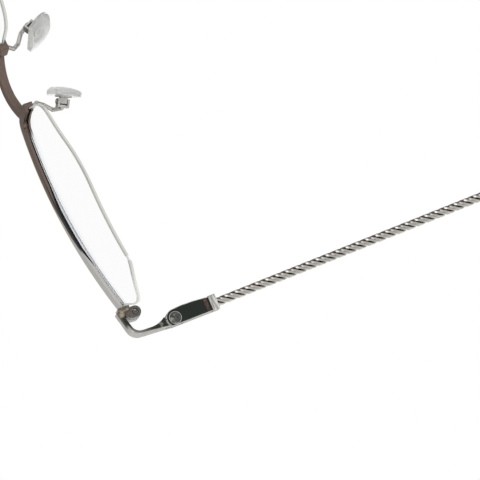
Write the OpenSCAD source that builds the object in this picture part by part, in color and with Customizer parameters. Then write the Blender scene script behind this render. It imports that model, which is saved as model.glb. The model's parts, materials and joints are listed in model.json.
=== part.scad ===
// Half rim eyeglasses: metal upper rims, nylon-held lenses, twisted rope temples.
// Worn attitude: +Z up, the front faces -Y, the temples run to +Y, +X is the wearer's left.
// Each side is drawn once for +X, in x outwards from the middle, and mirrored for -X.
// Front pieces are drawn in the front frame: z = 0 at the rim's top edge, then tilted.

/* [Lenses] */
// Width of one lens
lens_w = 56.5; // [52:0.5:58]
// Gap between the two lenses at the nose
nose_gap = 17; // [15:0.5:20]
// Height of the lens edge below the rim's top edge, at its lowest corner line
lens_drop = 33; // [31:0.25:35]
// Lens thickness
lens_t = 1; // [0.8:0.05:1.4]
// Front curve radius of the lens
lens_r = 147; // [130:0.5:170]
// Groove around the lens edge for the nylon cord, wide
lens_groove_w = 0.4; // [0.3:0.05:0.5]
// Groove around the lens edge, deep
lens_groove_d = 0.45; // [0.3:0.05:0.6]

/* [Rims] */
// Height of the rim bar
rim_h = 4.5; // [4:0.1:5]
// Metal in front of the lens
rim_lip = 0.7; // [0.5:0.05:1.1]
// Metal behind the lens
rim_back = 0.5; // [0.4:0.05:0.8]
// How far the lens edge enters the rim
rim_seat = 1; // [0.8:0.1:1.2]
// How far the nose leg of the rim reaches down
rim_leg_drop = 13; // [11:0.5:15]
// Tilt of the front: how far the lens bottoms lean towards the face, in degrees
front_tilt = 5; // [3:0.5:8]
// Height of the bridge bar
bridge_h = 2.6; // [2:0.1:3.2]
// Depth of the bridge bar
bridge_t = 2; // [1.6:0.1:2.4]
// Rise of the bridge in its middle
bridge_rise = 2.2; // [1.4:0.1:2.6]

/* [Endpieces and hinges] */
// Height of the endpiece strap
strap_h = 5; // [4.6:0.1:5.6]
// Height of the temple block; the strap narrows to it before the hinge
block_h = 3; // [2.8:0.1:4]
// Thickness of the strap
strap_t = 0.8; // [0.7:0.05:1]
// Outer radius of the strap's bend
strap_bend_r = 3.2; // [2.6:0.1:3.8]
// How far the hinge axis stands outside the lens edge
hinge_out = 5.1; // [4.6:0.05:5.8]
// How far the hinge axis lies behind the strap's front corner
hinge_back = 12.85; // [12:0.05:14]
// Outer radius of the temple block's round front end
hinge_r = 2.3; // [2.1:0.05:2.4]
// Hinge screw shank diameter
hinge_screw_d = 1.4; // [1.2:0.05:1.6]
// Hinge screw head diameter
hinge_head_d = 2.9; // [2.6:0.1:3]
// Width of the metal ring left round the hinge screw's head
ring_w = 0.12; // [0.1:0.01:0.16]
// Height of the endpiece's middle knuckle
knuckle_h = 1.1; // [0.9:0.1:1.4]
// Thickness of the clamp plate under the closing block
clamp_t = 1.1; // [0.9:0.1:1.4]
// Closing block width
clamp_w = 3; // [2.6:0.1:3.2]
// Closing screw head diameter
clamp_head_d = 1.6; // [1.4:0.1:1.9]
// Closing screw shank diameter
clamp_screw_d = 0.9; // [0.8:0.05:1.1]

/* [Temples] */
// Length of the temple block behind the hinge axis
block_len = 9.6; // [8.5:0.1:11]
// Length of the end cap
cap_len = 1.85; // [1.6:0.05:2.4]
// Depth of the inlay fields
inlay_t = 0.3; // [0.2:0.05:0.35]
// Width of the metal edge round the inlay
inlay_edge = 0.14; // [0.1:0.01:0.3]
// Width of the stripe at the end of the inlay
stripe_w = 0.9; // [0.7:0.1:1.2]
// Strand diameter of the rope
strand_d = 1.02; // [0.9:0.02:1.06]
// Radius of the circle on which the strands' middles lie
strand_ring_r = 0.64; // [0.62:0.01:0.7]
// Length of one full turn of the rope
rope_lay = 8.55; // [8:0.05:10]
// Length of rope in view between the cap and the tip's ferrule
rope_len = 77.5; // [70:0.5:84]
// Inward slant of the rope, in degrees
rope_slant = 0.5; // [0:0.05:1]
// Outer diameter of the ear tip
tip_d = 4.2; // [3.8:0.1:4.8]
// Diameter of the tip's core wire
tip_core_d = 1.3; // [1:0.1:1.5]
// Radius of the ear bend
ear_bend_r = 20; // [16:1:26]
// Angle of the ear bend, in degrees
ear_bend_a = 40; // [36:1:46]

/* [Nose pads] */
// Height of a nose pad
pad_h = 13; // [11:0.5:15]
// Width of a nose pad
pad_w = 7; // [6:0.5:8]
// Thickness of a nose pad
pad_t = 2.2; // [1.8:0.1:2.6]
// Pad arm wire diameter
pad_wire_d = 1.1; // [1:0.1:1.3]
// Pad screw diameter
pad_screw_d = 0.8; // [0.7:0.05:0.9]

/* [Fits] */
// Running clearance round a pin, on the radius
pin_gap = 0.05; // [0.03:0.01:0.08]
// Clearance between a piece and the seat it is fixed in
seat_gap = 0.03; // [0.02:0.01:0.05]
// Side clearance between knuckles and between other pieces that turn past each other
turn_gap = 0.1; // [0.08:0.01:0.15]

/* [Hidden] */
smooth = 96;
dome = 240;
corner_steps = 8;
screw_bevel = 0.12;
elbow = 32;
cut_far = 40;                      // half the length of cuts that run right through
pin_far = 5;

// ---- places that follow from the sizes above ----
nasal_x = nose_gap / 2;
temporal_x = nasal_x + lens_w;
hinge_x = temporal_x + hinge_out;
lens_top = -(rim_h - rim_seat);
rim_t = rim_lip + lens_t + rim_back;
rim_end_x = temporal_x - 2.2;
rim_front_r = lens_r + rim_lip;
rim_back_r = lens_r - lens_t - rim_back;
apex_x = nasal_x + 13.75;          // where the lens curve faces straight ahead
apex_y = -4.55;                    // front of the rim's top edge there, in the front frame
curve_mid_z = -16;                 // height of the lens curve's centre
curve_y = apex_y + sqrt(pow(rim_front_r, 2) - pow(curve_mid_z, 2));
function curve_front(r, x, z) = curve_y - sqrt(pow(r, 2) - pow(x - apex_x, 2) - pow(z - curve_mid_z, 2));

// ---- outlines with rounded corners: each corner is [x, y, radius] ----
function xy(p) = [p[0], p[1]];
function unit(v) = v / norm(v);
function half_angle(a, b, c) = acos(max(-1, min(1, unit(a - b) * unit(c - b)))) / 2;
function turn(a) = a > 180 ? a - 360 : a < -180 ? a + 360 : a;
function corner_arc(a, b, c, r) =
    let (h = half_angle(a, b, c),
         mid = b + unit(unit(a - b) + unit(c - b)) * r / sin(h),
         p = b + unit(a - b) * r / tan(h) - mid,
         q = b + unit(c - b) * r / tan(h) - mid,
         start = atan2(p[1], p[0]),
         sweep = turn(atan2(q[1], q[0]) - start))
    [for (i = [0:corner_steps])
        mid + r * [cos(start + sweep * i / corner_steps), sin(start + sweep * i / corner_steps)]];
function rounded(v) = let (n = len(v))
    [for (i = [0:n - 1], p = v[i][2] < 0.01 ? [xy(v[i])]
        : corner_arc(xy(v[(i + n - 1) % n]), xy(v[i]), xy(v[(i + 1) % n]), v[i][2])) p];
// The outline moved inwards by d, its corners listed counter-clockwise.
function normal_in(a, b) = let (t = unit(b - a)) [-t[1], t[0]];
function inset_corner(a, b, c, d) =
    let (m = normal_in(a, b), n = normal_in(b, c)) b + (m + n) * d / (1 + m * n);
function inset(v, d) = let (n = len(v))
    [for (i = [0:n - 1])
        let (p = inset_corner(xy(v[(i + n - 1) % n]), xy(v[i]), xy(v[(i + 1) % n]), d))
        [p[0], p[1], max(0, v[i][2] - d)]];

// Lens outline in the front frame, seen from behind for +X, counter-clockwise.
lens_corners = [
    [temporal_x - 3, lens_top, 1.5],
    [nasal_x + 1.6, lens_top, 4],
    [nasal_x - 0.1, lens_top - 8, 14],
    [nasal_x + 2.3, lens_top - 20.1, 9],
    [nasal_x + 21.7, -lens_drop, 20],
    [temporal_x - 8.7, -lens_drop + 5.3, 4],
    [temporal_x + 0.3, lens_top - 12.7, 8]];

module lens_slab(d) {
    rotate([90, 0, 0]) translate([0, 0, -cut_far]) linear_extrude(height = 2 * cut_far)
        polygon(rounded(inset(lens_corners, d)));
}

module curve_shell(outer, inner) {
    translate([apex_x, curve_y, curve_mid_z]) difference() {
        sphere(r = outer, $fn = dome);
        sphere(r = inner, $fn = dome);
    }
}

// ---- frames ----
lens_low = min([for (p = rounded(lens_corners)) p[1]]);
low_y = curve_front(lens_r, nasal_x + 24.5, lens_low);
ground = -(strap_h + low_y * sin(front_tilt) + lens_low * cos(front_tilt));
tip_end_r = tip_d / 2;
rope_z = block_h / 2;
ear_drop = rope_z + ground - tip_end_r;
tip_straight = (ear_drop - ear_bend_r * (1 - cos(ear_bend_a))) / sin(ear_bend_a);
rope_start = block_len + 0.15 + 0.67;
rope_end = block_len + 0.15 + cap_len + rope_len;
ferrule_len = 2.4;
bend_start = rope_end + ferrule_len + 3;
back_y = bend_start + ear_bend_r * sin(ear_bend_a) + tip_straight * cos(ear_bend_a) + tip_end_r;
front_y = -hinge_back + apex_y * cos(front_tilt);
mid_y = (back_y + front_y) / 2;

module place() { translate([0, -mid_y, ground]) children(); }
module in_front() { translate([0, -hinge_back, strap_h]) rotate([front_tilt, 0, 0]) children(); }
module right() { mirror([1, 0, 0]) place() children(); }
module left() { place() children(); }

// ---- lenses, rims and cords ----
module lens() {
    color([0.93, 0.95, 0.94, 0.4]) in_front() difference() {
        intersection() {
            lens_slab(0);
            curve_shell(lens_r, lens_r - lens_t);
        }
        difference() {
            curve_shell(lens_r - (lens_t - lens_groove_w) / 2, lens_r - (lens_t + lens_groove_w) / 2);
            lens_slab(lens_groove_d);
        }
    }
}

leg_low = [nasal_x + 6, -rim_leg_drop];
rim_corners = [
    [rim_end_x, 0, 0],
    [nasal_x + 0.6, 0, 3],
    [nasal_x - 1.5, -8, 6],
    [nasal_x - 1.2, -rim_leg_drop, 0.8],
    [nasal_x + 3, -rim_leg_drop, 0],
    [nasal_x + 3, -rim_h, 0],
    [rim_end_x, -rim_h, 0]];

module rim_slab() {
    rotate([90, 0, 0]) translate([0, 0, -cut_far]) linear_extrude(height = 2 * cut_far)
        polygon(rounded(rim_corners));
}

module rim_bar() {
    intersection() {
        rim_slab();
        curve_shell(rim_front_r, rim_back_r);
    }
}

module rim() {
    color([0.42, 0.37, 0.33]) in_front() difference() {
        rim_bar();
        lens_slab(rim_seat);
        intersection() {
            lens_slab(-seat_gap);
            curve_shell(lens_r + seat_gap, lens_r - lens_t - seat_gap);
        }
    }
}

module lens_cord() {
    color([0.85, 0.87, 0.86]) in_front() difference() {
        intersection() {
            lens_slab(0.05);
            curve_shell(lens_r - (lens_t - lens_groove_w) / 2 - seat_gap,
                lens_r - (lens_t + lens_groove_w) / 2 + seat_gap);
        }
        lens_slab(lens_groove_d - seat_gap);
        rotate([90, 0, 0]) translate([0, 0, -cut_far]) linear_extrude(height = 2 * cut_far)
            polygon([[-1, 5], [-1, -rim_leg_drop + 0.5], [nasal_x + 5, -rim_leg_drop + 0.5],
                [nasal_x + 5, -rim_h + 0.4], [temporal_x + 5, -rim_h + 0.4], [temporal_x + 5, 5]]);
    }
}

bridge_half = nasal_x - 0.4;
bridge_y = curve_front(rim_front_r, nasal_x, -3) + rim_t / 2;
bridge_bow = 0.9;
function bow_r(half, rise) = (half * half + rise * rise) / (2 * rise);

module bow(half, rise, t) {
    r = bow_r(half, rise);
    translate([0, -r]) intersection() {
        difference() {
            circle(r = r + t / 2, $fn = dome);
            circle(r = r - t / 2, $fn = dome);
        }
        translate([-half - 3, 0]) square([2 * half + 6, 2 * r]);
    }
}

module bridge() {
    color([0.42, 0.37, 0.33]) place() in_front() difference() {
        intersection() {
            translate([0, cut_far, -0.5 - bridge_h / 2]) rotate([90, 0, 0])
                linear_extrude(height = 2 * cut_far) bow(bridge_half, bridge_rise, bridge_h);
            translate([0, bridge_y - bridge_bow, -cut_far]) mirror([0, 1, 0])
                linear_extrude(height = 2 * cut_far) bow(bridge_half, bridge_bow, bridge_t);
            translate([-bridge_half - 1, -cut_far, -cut_far])
                cube([2 * bridge_half + 2, 2 * cut_far, 2 * cut_far]);
        }
        rim_slab();
        mirror([1, 0, 0]) rim_slab();
    }
}

// ---- endpiece: strap, lug, upper closing block and middle knuckle ----
front_corner = [rim_end_x + 0.8, -hinge_back - 0.25];
strap_line = [hinge_x + 0.6, -hinge_back + 1.35];
side_x = 1.8;
taper_start = -9.5;
taper_end = -3;
seat_r = hinge_r + turn_gap;
strap_corners = [
    [front_corner[0], front_corner[1], 0],
    [strap_line[0], strap_line[1], strap_bend_r],
    [hinge_x + side_x, -1, 0],
    [hinge_x - 1.05, -1, 0],
    [hinge_x - 1.05, -2.58, 0],
    [hinge_x - 1.2, -2.6, 0],
    [hinge_x + 0.12, -4.8, 6],
    [hinge_x - 0.18, strap_line[1] + strap_t, strap_bend_r - strap_t],
    [front_corner[0] + 0.4, front_corner[1] + 0.05 + strap_t, 0]];
block_mid = [rim_end_x + 2.15, -hinge_back + 4];
lug_r = 1.45;
lug_mid = [rim_end_x + 0.1, -hinge_back + 1.7];

module block_shape(grow) {
    translate(block_mid) circle(r = clamp_w / 2 + grow, $fn = smooth);
    polygon([block_mid + [-clamp_w / 2 - grow, 0], block_mid + [-clamp_w / 2 - grow, -1.4],
        block_mid + [-0.1, -3.1 - grow], block_mid + [0.8 + grow, -2.5 - grow],
        block_mid + [clamp_w / 2 - 0.1 + grow, -1.2], block_mid + [clamp_w / 2 + grow, 0]]);
}

module lug_shape(grow) {
    intersection() {
        union() {
            translate(lug_mid) circle(r = lug_r + grow, $fn = smooth);
            polygon([front_corner, front_corner + [1.5 + grow, 0.3], front_corner + [1.5 + grow, 1.4 + grow],
                front_corner + [-0.4, 2.4 + grow], [rim_end_x, -hinge_back + 1]]);
        }
        translate([rim_end_x, -hinge_back - 0.5]) square([4, 6.5]);
    }
}

// The plate and the gasket stand clear of the lug and of the strap.
module plate_shape(grow) {
    difference() {
        block_shape(grow);
        lug_shape(turn_gap);
        polygon([front_corner, strap_line, strap_line + [0, strap_t + 2 * turn_gap],
            front_corner + [0.4, 0.05 + strap_t + 2 * turn_gap]]);
    }
}

module endpiece() {
    color([0.72, 0.71, 0.69]) difference() {
        union() {
            linear_extrude(height = strap_h) polygon(rounded(strap_corners));
            linear_extrude(height = strap_h) lug_shape(0);
            translate([0, 0, clamp_t + 0.35]) linear_extrude(height = strap_h - clamp_t - 0.35)
                block_shape(0.15);
            translate([0, 0, clamp_t + 0.35]) linear_extrude(height = strap_h - clamp_t - 0.35)
                polygon([front_corner + [0.3, 0.4], front_corner + [2.6, 0.8], block_mid + [0.8, -2],
                    block_mid + [-1.2, -1]]);
            translate([hinge_x, 0, rope_z - knuckle_h / 2]) {
                intersection() {
                    cylinder(h = knuckle_h, r = hinge_r - 0.2, $fn = smooth);
                    translate([-4, -4, 0]) cube([4 + side_x - 0.05, 8, knuckle_h]);
                }
                translate([-0.95, -seat_r - 0.5, 0]) cube([0.95 + side_x - 0.05, seat_r + 0.5, knuckle_h]);
            }
        }
        // the round seat in which the temple block's front end turns
        for (z = [rope_z - knuckle_h / 2 - strap_h, rope_z + knuckle_h / 2])
            translate([hinge_x, 0, z]) {
                cylinder(h = strap_h, r = seat_r, $fn = smooth);
                linear_extrude(height = strap_h)
                    polygon([[0, -seat_r], [0, 1.8], [-4, 1.8], [-4, -3], [-1.3, -2.6]]);
            }
        // the strap's upper edge comes down to the block's height
        translate([hinge_x - 3, 0, 0]) rotate([90, 0, 90]) linear_extrude(height = 6)
            polygon([[taper_start, strap_h], [taper_end, block_h], [4, block_h], [4, strap_h + 1],
                [taper_start, strap_h + 1]]);
        translate([hinge_x, 0, -1])
            cylinder(h = strap_h + 2, d = hinge_screw_d + 2 * pin_gap, $fn = smooth);
        translate([block_mid[0], block_mid[1], -1])
            cylinder(h = strap_h - 0.4, d = clamp_screw_d + 2 * seat_gap, $fn = smooth);
        in_front() lens_slab(-0.3);
    }
}

module clamp_plate() {
    color([0.36, 0.32, 0.30]) difference() {
        linear_extrude(height = clamp_t) plate_shape(0);
        translate([block_mid[0], block_mid[1], -1])
            cylinder(h = clamp_t + 2, d = clamp_screw_d + 2 * seat_gap, $fn = smooth);
        translate([block_mid[0], block_mid[1], -1])
            cylinder(h = 1 + 0.4, d = clamp_head_d + 2 * seat_gap, $fn = smooth);
    }
}

module clamp_gasket() {
    color([0.9, 0.9, 0.88]) translate([0, 0, clamp_t + seat_gap]) difference() {
        linear_extrude(height = 0.35 - 2 * seat_gap) plate_shape(0.1);
        translate([block_mid[0], block_mid[1], -1])
            cylinder(h = 3, d = clamp_screw_d + 2 * seat_gap, $fn = smooth);
    }
}

// A slotted screw standing head down, the head's face at z = 0.
module slotted_screw(head_d, head_t, shank_d, length, slot_w) {
    difference() {
        rotate_extrude($fn = smooth) polygon([[0, 0], [head_d / 2 - screw_bevel, 0],
            [head_d / 2, screw_bevel], [head_d / 2, head_t], [shank_d / 2, head_t],
            [shank_d / 2, length], [0, length]]);
        translate([-head_d, -slot_w / 2, -1]) cube([2 * head_d, slot_w, 1 + head_t * 0.45]);
    }
}

module clamp_screw() {
    color([0.45, 0.41, 0.38]) translate([block_mid[0], block_mid[1], 0.02])
        rotate(30) slotted_screw(clamp_head_d, 0.38, clamp_screw_d, strap_h - 1.6, 0.3);
}

// ---- hinge and temple ----
slot_low = rope_z - knuckle_h / 2 - turn_gap;
slot_high = rope_z + knuckle_h / 2 + turn_gap;
inner_x = 2.45;
inner_end_x = 1.95;
head_t = 0.45;

module block_outline(edge) {
    intersection() {
        union() {
            circle(r = hinge_r - edge, $fn = smooth);
            polygon([[-hinge_r + edge, 0], [side_x - edge, 0], [side_x - edge, block_len],
                [-inner_end_x + edge, block_len], [0.1 - inner_x + edge, 5.8], [-inner_x + edge, 2.2],
                [-hinge_r + edge, 0]]);
        }
        translate([-5, -5]) square([5 + side_x - edge, block_len + 5]);
    }
}

module inlay_area(y0, y1) {
    intersection() {
        block_outline(inlay_edge);
        translate([-5, y0]) square([10, y1 - y0]);
    }
}

module both_faces(depth) {
    linear_extrude(height = depth) children();
    translate([0, 0, block_h - depth]) linear_extrude(height = depth) children();
}

stripe_end = block_len - 0.42;
stripe_start = stripe_end - stripe_w;

module temple_block() {
    color([0.70, 0.69, 0.67]) translate([hinge_x, 0, 0]) difference() {
        linear_extrude(height = block_h) block_outline(0);
        translate([0, 0, slot_low]) {
            cylinder(h = slot_high - slot_low, r = hinge_r + 0.05, $fn = smooth);
            translate([-4, -4, 0]) cube([8, 5.2, slot_high - slot_low]);
        }
        both_faces_cut() difference() {
            inlay_area(-5, block_len + 1);
            ring_disc();
        }
        translate([0, 0, -1]) cylinder(h = block_h + 0.6, d = hinge_screw_d + 2 * pin_gap, $fn = smooth);
        translate([0, 0, -1]) cylinder(h = 1 + head_t, d = hinge_head_d + 2 * seat_gap, $fn = smooth);
        translate([0, block_len + 0.6, rope_z]) rotate([90, 0, 0]) cylinder(h = 2, d = 1.6, $fn = smooth);
    }
}

module both_faces_cut() {
    translate([0, 0, -1]) linear_extrude(height = 1 + inlay_t) children();
    translate([0, 0, block_h - inlay_t]) linear_extrude(height = 1 + inlay_t) children();
}

module ring_disc() { circle(r = hinge_head_d / 2 + seat_gap + ring_w, $fn = smooth); }

module inlay() {
    color([0.10, 0.14, 0.12]) translate([hinge_x, 0, 0]) both_faces(inlay_t - 0.02) {
        difference() {
            inlay_area(-5, stripe_start - 0.02);
            ring_disc();
        }
        inlay_area(stripe_end + 0.02, block_len - 0.02);
    }
}

module stripe() {
    color([0.36, 0.20, 0.16]) translate([hinge_x, 0, 0]) both_faces(inlay_t - 0.02)
        inlay_area(stripe_start, stripe_end);
}

cap_y = block_len + 0.15;
module end_cap() {
    color([0.70, 0.69, 0.67]) translate([hinge_x, 0, 0]) difference() {
        union() {
            translate([0, cap_y + cap_len, 0]) rotate([90, 0, 0]) linear_extrude(height = cap_len)
                polygon(rounded([[side_x + 0.05, -0.05, 0.3], [side_x + 0.05, block_h + 0.05, 0.3],
                    [-inner_end_x - 0.18, block_h + 0.05, 0.3], [-inner_end_x - 0.18, -0.05, 0.3]]));
            translate([0, cap_y + 0.01, rope_z]) rotate([90, 0, 0])
                cylinder(h = 1.3, d = 1.6 - 2 * seat_gap, $fn = smooth);
        }
        rope_at(0) translate([0, 0, cap_y + 0.4]) cylinder(h = 4, d = rope_d + 0.16, $fn = smooth);
    }
}

module hinge_screw() {
    color([0.55, 0.54, 0.52]) translate([hinge_x, 0, 0.02]) rotate(55)
        slotted_screw(hinge_head_d, head_t - 0.04, hinge_screw_d, block_h - 0.5, 0.4);
}

module hinge_washers() {
    color([0.8, 0.8, 0.78]) for (z = [slot_low, slot_high])
        translate([hinge_x, 0, z]) mirror([0, 0, z > rope_z ? 1 : 0]) difference() {
            cylinder(h = turn_gap * 0.6, r = hinge_r - 0.5, $fn = smooth);
            translate([0, 0, -1]) cylinder(h = 3, d = hinge_screw_d + 2 * pin_gap, $fn = smooth);
        }
}

// ---- rope: three strands laid right-handed round one another ----
rope_d = 2 * strand_ring_r + strand_d;
rope_x = 0.1;
strand_sides = 8;
rings_per_turn = 10;
rope_run = rope_end - rope_start + 1.2;
strand_rings = ceil(rope_run / rope_lay * rings_per_turn);

// The rope's own frame: z runs along the rope, from the hinge axis' level.
module rope_at(turned) {
    translate([rope_x, 0, rope_z]) rotate([0, 0, rope_slant]) rotate([-90, 0, 0]) rotate(turned) children();
}

function strand_point(i, j, phase) =
    let (a = 360 * i / rings_per_turn + phase,
         lean = atan(2 * PI * strand_ring_r / rope_lay),
         b = 360 * j / strand_sides,
         r = strand_ring_r + strand_d / 2 * cos(b),
         s = strand_d / 2 * sin(b),
         z = rope_start + rope_run * i / strand_rings)
    [r * cos(a) - s * cos(lean) * sin(a), r * sin(a) + s * cos(lean) * cos(a), z - s * sin(lean)];

module strand(phase) {
    n = strand_sides;
    points = [for (i = [0:strand_rings], j = [0:n - 1]) strand_point(i, j, phase)];
    sides = [for (i = [0:strand_rings - 1], j = [0:n - 1], half = [0, 1])
        half == 0 ? [i * n + j, (i + 1) * n + j, (i + 1) * n + (j + 1) % n]
        : [i * n + j, (i + 1) * n + (j + 1) % n, i * n + (j + 1) % n]];
    ends = [[for (j = [0:n - 1]) j], [for (j = [n - 1:-1:0]) strand_rings * n + j]];
    polyhedron(points = points, faces = concat(sides, ends));
}

module rope_strand(side, phase) {
    color([0.66, 0.64, 0.61]) place() translate([side * hinge_x, 0, 0]) mirror([side < 0 ? 1 : 0, 0, 0])
        rope_at(0) mirror([side < 0 ? 1 : 0, 0, 0]) strand(phase);
}

module ferrule() {
    color([0.70, 0.69, 0.67]) translate([hinge_x, 0, 0]) rope_at(0) translate([0, 0, rope_end]) difference() {
        union() {
            cylinder(h = ferrule_len, d = tip_d + 0.3, $fn = smooth);
            cylinder(h = 0.5, d = tip_d + 0.6, $fn = smooth);
        }
        translate([0, 0, -1]) cylinder(h = 1 + ferrule_len - 0.6, d = rope_d + 0.16, $fn = smooth);
        cylinder(h = ferrule_len + 1, d = tip_core_d + 2 * seat_gap, $fn = smooth);
    }
}

// The tip's own frame: y along the rope, the bend goes down in z.
module ear_path(d, start, end_cut) {
    translate([0, start, 0]) rotate([-90, 0, 0]) cylinder(h = bend_start - start, d = d, $fn = smooth);
    translate([0, bend_start, -ear_bend_r]) rotate([0, -90, 0])
        rotate_extrude(angle = ear_bend_a, $fn = 2 * smooth) translate([ear_bend_r, 0]) circle(d = d, $fn = smooth);
    translate([0, bend_start, -ear_bend_r]) rotate([-ear_bend_a, 0, 0]) translate([0, 0, ear_bend_r])
        rotate([-90, 0, 0]) {
            sphere(d = d * 1.01, $fn = smooth);
            cylinder(h = tip_straight - end_cut, d = d, $fn = smooth);
            translate([0, 0, tip_straight - end_cut]) sphere(d = d * 1.01, $fn = smooth);
        }
}

module tip_core() {
    color([0.6, 0.6, 0.6]) translate([hinge_x + rope_x, 0, rope_z]) rotate([0, 0, rope_slant])
        ear_path(tip_core_d, rope_end + ferrule_len - 0.5, 12);
}

module tip() {
    color([0.12, 0.11, 0.11]) translate([hinge_x + rope_x, 0, rope_z]) rotate([0, 0, rope_slant]) difference() {
        ear_path(tip_d, rope_end + ferrule_len, 0);
        ear_path(tip_core_d + 2 * seat_gap, rope_end + ferrule_len - 1, 12);
    }
}

// ---- nose pads ----
pad_mid = [nasal_x + 0.5, 5.4, -14];
pad_splay = 25;
pad_face_tilt = 18;
pivot_x = 1.55;
lug_w = 1.8;
cheek_t = 0.5;

module at_pad() {
    in_front() translate(pad_mid) rotate([0, -pad_face_tilt, 0]) rotate([0, 0, -pad_splay]) children();
}

module nose_pad() {
    color([0.93, 0.93, 0.90, 0.7]) at_pad() intersection() {
        rotate([0, -90, 0]) linear_extrude(height = pad_t)
            polygon(rounded([[pad_h / 2, -pad_w / 2 + 0.6, 2.4], [pad_h / 2, pad_w / 2 - 0.6, 2.4],
                [-pad_h / 2, pad_w / 2, 3], [-pad_h / 2, -pad_w / 2, 3]]));
        translate([11.6, 0, 0]) sphere(r = 11.6 + pad_t, $fn = smooth);
    }
}

module pad_lug() {
    color([0.75, 0.74, 0.72]) at_pad() difference() {
        union() {
            translate([0.02, -lug_w / 2, -0.75]) cube([pivot_x, lug_w, 1.5]);
            translate([pivot_x, lug_w / 2, 0]) rotate([90, 0, 0]) cylinder(h = lug_w, r = 0.75, $fn = smooth);
            translate([0.02, -1.5, -2.2]) cube([0.35, 3, 4.4]);
        }
        translate([pivot_x, pin_far, 0]) rotate([90, 0, 0])
            cylinder(h = 2 * pin_far, d = pad_screw_d + 2 * pin_gap, $fn = smooth);
    }
}

module rod(a, b, d) {
    v = b - a;
    translate(a) rotate([0, acos(v[2] / norm(v)), atan2(v[1], v[0])]) cylinder(h = norm(v), d = d, $fn = elbow);
    translate(b) sphere(d = d * 1.04, $fn = elbow);
}

function turned_pad(p) =
    let (q = [p[0] * cos(pad_splay) + p[1] * sin(pad_splay), p[1] * cos(pad_splay) - p[0] * sin(pad_splay), p[2]])
    pad_mid + [q[0] * cos(pad_face_tilt) - q[2] * sin(pad_face_tilt), q[1],
        q[2] * cos(pad_face_tilt) + q[0] * sin(pad_face_tilt)];

arm_foot = [nasal_x - 0.1, curve_front(rim_back_r, nasal_x, -10.5) + 0.3, -10.5];
arm_path = [arm_foot, arm_foot + [-0.9, 1.6, 0.6], arm_foot + [0.1, 3.3, 1.2], arm_foot + [2.2, 4.8, 0.4],
    turned_pad([3.1, 0, 0.6]), turned_pad([pivot_x + 1.35, 0, 0])];

module pad_arm() {
    color([0.70, 0.69, 0.67]) {
        in_front() intersection() {
            for (i = [1:len(arm_path) - 1]) rod(arm_path[i - 1], arm_path[i], pad_wire_d);
            translate([apex_x, curve_y, curve_mid_z]) sphere(r = rim_back_r, $fn = dome);
        }
        at_pad() difference() {
            union() {
                for (s = [-1, 1]) translate([0.75, s * (lug_w / 2 + turn_gap + cheek_t / 2) - cheek_t / 2, -0.95])
                    cube([pivot_x + 0.65, cheek_t, 1.9]);
                translate([pivot_x + 0.85, -lug_w / 2 - turn_gap - cheek_t, -0.95])
                    cube([0.5, lug_w + 2 * turn_gap + 2 * cheek_t, 1.9]);
            }
            translate([pivot_x, pin_far, 0]) rotate([90, 0, 0])
                cylinder(h = 2 * pin_far, d = pad_screw_d + 2 * seat_gap, $fn = smooth);
        }
    }
}

module pad_screw() {
    color([0.6, 0.6, 0.58]) at_pad() translate([pivot_x, -lug_w / 2 - turn_gap - cheek_t - 0.35, 0])
        rotate([-90, 0, 0]) slotted_screw(1.3, 0.33, pad_screw_d, lug_w + 2 * turn_gap + 2 * cheek_t + 0.35, 0.25);
}

right() lens();  // right_lens
left() lens();  // left_lens
right() rim();  // right_rim
left() rim();  // left_rim
right() lens_cord();  // right_lens_cord
left() lens_cord();  // left_lens_cord
bridge();
right() endpiece();  // right_endpiece
left() endpiece();  // left_endpiece
right() clamp_plate();  // right_clamp_plate
left() clamp_plate();  // left_clamp_plate
right() clamp_gasket();  // right_clamp_gasket
left() clamp_gasket();  // left_clamp_gasket
right() clamp_screw();  // right_clamp_screw
left() clamp_screw();  // left_clamp_screw
right() pad_arm();  // right_pad_arm
left() pad_arm();  // left_pad_arm
right() pad_screw();  // right_pad_screw
left() pad_screw();  // left_pad_screw
right() nose_pad();  // right_nose_pad
left() nose_pad();  // left_nose_pad
right() pad_lug();  // right_pad_lug
left() pad_lug();  // left_pad_lug
right() temple_block();  // right_temple_block
left() temple_block();  // left_temple_block
right() inlay();  // right_inlay
left() inlay();  // left_inlay
right() stripe();  // right_stripe
left() stripe();  // left_stripe
right() end_cap();  // right_end_cap
left() end_cap();  // left_end_cap
right() hinge_screw();  // right_hinge_screw
left() hinge_screw();  // left_hinge_screw
right() hinge_washers();  // right_hinge_washers
left() hinge_washers();  // left_hinge_washers
rope_strand(-1, 0);  // right_strand_a
rope_strand(-1, 120);  // right_strand_b
rope_strand(-1, 240);  // right_strand_c
rope_strand(1, 0);  // left_strand_a
rope_strand(1, 120);  // left_strand_b
rope_strand(1, 240);  // left_strand_c
right() ferrule();  // right_ferrule
left() ferrule();  // left_ferrule
right() tip_core();  // right_tip_core
left() tip_core();  // left_tip_core
right() tip();  // right_tip
left() tip();  // left_tip
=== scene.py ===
"""Half rim eyeglasses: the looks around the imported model.

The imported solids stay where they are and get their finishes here. The rope strands are
drawn again with their separate wires, because the solids show each strand as one round bar.
"""

import json
import math

import bmesh
import bpy
from bpy.props import FloatProperty, FloatVectorProperty, PointerProperty
from mathutils import Matrix, Vector
from mathutils.bvhtree import BVHTree

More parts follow.
